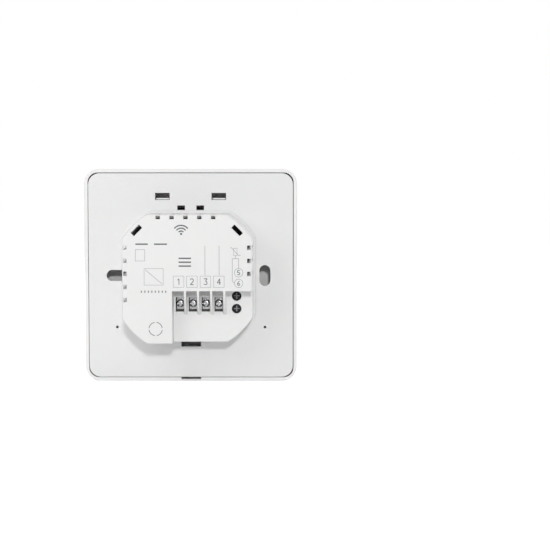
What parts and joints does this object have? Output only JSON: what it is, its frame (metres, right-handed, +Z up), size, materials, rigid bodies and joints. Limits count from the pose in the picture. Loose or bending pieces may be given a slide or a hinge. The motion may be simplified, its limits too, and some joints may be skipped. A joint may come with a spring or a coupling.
{
  "type": "wall thermostat",
  "caption": "Square white wall thermostat with a large turning silver dial ring round a dark display, a clip-on cover, a mounting plate and a back box with screw terminals.",
  "frame": {"origin": "centre of the mounting plate's rear face, on the dial axis and midway between the wall screw slots", "axes": "+Y from the dial into the wall along the dial axis, +Z up, +X to the right seen from the front"},
  "size_m": [0.086, 0.0547, 0.086],
  "materials": {
    "white_plastic": "fine matt moulded plastic",
    "white_inner": "matt moulded plastic",
    "satin_silver": "satin silver plating",
    "acetal": "smooth natural acetal",
    "black_plastic": "matt black plastic",
    "smoked_lens": "polished dark acrylic",
    "display_glass": "polished dark display glass",
    "clear_guide": "polished clear acrylic",
    "board": "dark solder mask",
    "zinc_steel": "bright zinc plate",
    "dark_steel": "dark passivated steel",
    "brass": "plain brass",
    "component_black": "matt epoxy",
    "relay_blue": "dark moulded plastic",
    "shield": "tinned steel",
    "terminal_grey": "dark grey polyamide",
    "led_white": "clear resin",
    "rubber_strip": "soft silicone",
    "varistor_blue": "dipped epoxy",
    "fuse_body": "glazed ceramic"
  },
  "bodies": {
    "base": {"mounting_plate": "white_plastic", "back_box": "white_plastic", "inner_cover": "white_inner", "base_screws": "zinc_steel", "power_board": "board", "header_pins": "brass", "relay": "relay_blue", "power_module": "component_black", "capacitor": "component_black", "varistor": "varistor_blue", "fuse": "fuse_body", "mains_terminal_block": "terminal_grey", "mains_contacts": "brass", "sensor_terminal_block": "terminal_grey", "sensor_contacts": "brass"},
    "front": {"front_cover": "white_plastic", "glide_ring": "acetal", "lens_frame": "black_plastic", "lens": "smoked_lens", "lcd_panel": "display_glass", "light_guide": "clear_guide", "backlight_leds": "led_white", "lcd_holder": "white_inner", "contact_strips": "rubber_strip", "display_board": "board", "board_screws": "zinc_steel", "encoder_body": "component_black", "processor": "component_black", "wireless_module": "shield", "buzzer": "component_black", "room_sensor": "component_black", "header_socket": "black_plastic"},
    "dial": {"dial_ring": "satin_silver", "dial_carrier": "acetal"},
    "encoder": {"encoder_shaft": "zinc_steel", "encoder_pinion": "acetal"},
    "clamp_1": {"clamp_plate_1": "zinc_steel"},
    "clamp_screw_1": {"clamp_screw_1": "zinc_steel"},
    "clamp_2": {"clamp_plate_2": "zinc_steel"},
    "clamp_screw_2": {"clamp_screw_2": "zinc_steel"},
    "clamp_3": {"clamp_plate_3": "zinc_steel"},
    "clamp_screw_3": {"clamp_screw_3": "zinc_steel"},
    "clamp_4": {"clamp_plate_4": "zinc_steel"},
    "clamp_screw_4": {"clamp_screw_4": "zinc_steel"},
    "cage_5": {"wire_cage_5": "zinc_steel"},
    "cage_screw_5": {"cage_screw_5": "dark_steel"},
    "cage_6": {"wire_cage_6": "zinc_steel"},
    "cage_screw_6": {"cage_screw_6": "dark_steel"}
  },
  "joints": [
    {"name": "cover_pull", "type": "slide", "parent": "base", "child": "front", "axis": [0, -1, 0], "range_m": [0, 0.02]},
    {"name": "dial_turn", "type": "hinge", "parent": "front", "child": "dial", "pos_m": [0, -0.02, 0], "axis": [0, 1, 0], "continuous": true},
    {"name": "encoder_turn", "type": "hinge", "parent": "front", "child": "encoder", "pos_m": [-0.01248, -0.014, -0.02506], "axis": [0, 1, 0], "continuous": true},
    {"name": "clamp_1_lift", "type": "slide", "parent": "base", "child": "clamp_1", "axis": [0, 1, 0], "range_m": [0, 0.0024]},
    {"name": "clamp_screw_1_turn", "type": "hinge", "parent": "clamp_1", "child": "clamp_screw_1", "pos_m": [0.0034, 0.0114, -0.0102], "axis": [0, 1, 0], "range_deg": [0, 1730]},
    {"name": "clamp_2_lift", "type": "slide", "parent": "base", "child": "clamp_2", "axis": [0, 1, 0], "range_m": [0, 0.0024]},
    {"name": "clamp_screw_2_turn", "type": "hinge", "parent": "clamp_2", "child": "clamp_screw_2", "pos_m": [-0.0017, 0.0114, -0.0102], "axis": [0, 1, 0], "range_deg": [0, 1730]},
    {"name": "clamp_3_lift", "type": "slide", "parent": "base", "child": "clamp_3", "axis": [0, 1, 0], "range_m": [0, 0.0024]},
    {"name": "clamp_screw_3_turn", "type": "hinge", "parent": "clamp_3", "child": "clamp_screw_3", "pos_m": [-0.0068, 0.0114, -0.0102], "axis": [0, 1, 0], "range_deg": [0, 1730]},
    {"name": "clamp_4_lift", "type": "slide", "parent": "base", "child": "clamp_4", "axis": [0, 1, 0], "range_m": [0, 0.0024]},
    {"name": "clamp_screw_4_turn", "type": "hinge", "parent": "clamp_4", "child": "clamp_screw_4", "pos_m": [-0.0119, 0.0114, -0.0102], "axis": [0, 1, 0], "range_deg": [0, 1730]},
    {"name": "cage_5_lift", "type": "slide", "parent": "base", "child": "cage_5", "axis": [0, 1, 0], "range_m": [0, 0.0022]},
    {"name": "cage_screw_5_turn", "type": "hinge", "parent": "base", "child": "cage_screw_5", "pos_m": [-0.019, 0.0131, -0.00715], "axis": [0, 1, 0], "range_deg": [-1762, 0]},
    {"name": "cage_6_lift", "type": "slide", "parent": "base", "child": "cage_6", "axis": [0, 1, 0], "range_m": [0, 0.0022]},
    {"name": "cage_screw_6_turn", "type": "hinge", "parent": "base", "child": "cage_screw_6", "pos_m": [-0.019, 0.0131, -0.01215], "axis": [0, 1, 0], "range_deg": [-1762, 0]}
  ],
  "couplings": [
    {"joint": "encoder_turn", "follows": "dial_turn", "ratio": 5.6667},
    {"joint": "clamp_screw_1_turn", "follows": "clamp_1_lift", "rad_per_m": 12566},
    {"joint": "clamp_screw_2_turn", "follows": "clamp_2_lift", "rad_per_m": 12566},
    {"joint": "clamp_screw_3_turn", "follows": "clamp_3_lift", "rad_per_m": 12566},
    {"joint": "clamp_screw_4_turn", "follows": "clamp_4_lift", "rad_per_m": 12566},
    {"joint": "cage_screw_5_turn", "follows": "cage_5_lift", "rad_per_m": -13963},
    {"joint": "cage_screw_6_turn", "follows": "cage_6_lift", "rad_per_m": -13963}
  ]
}
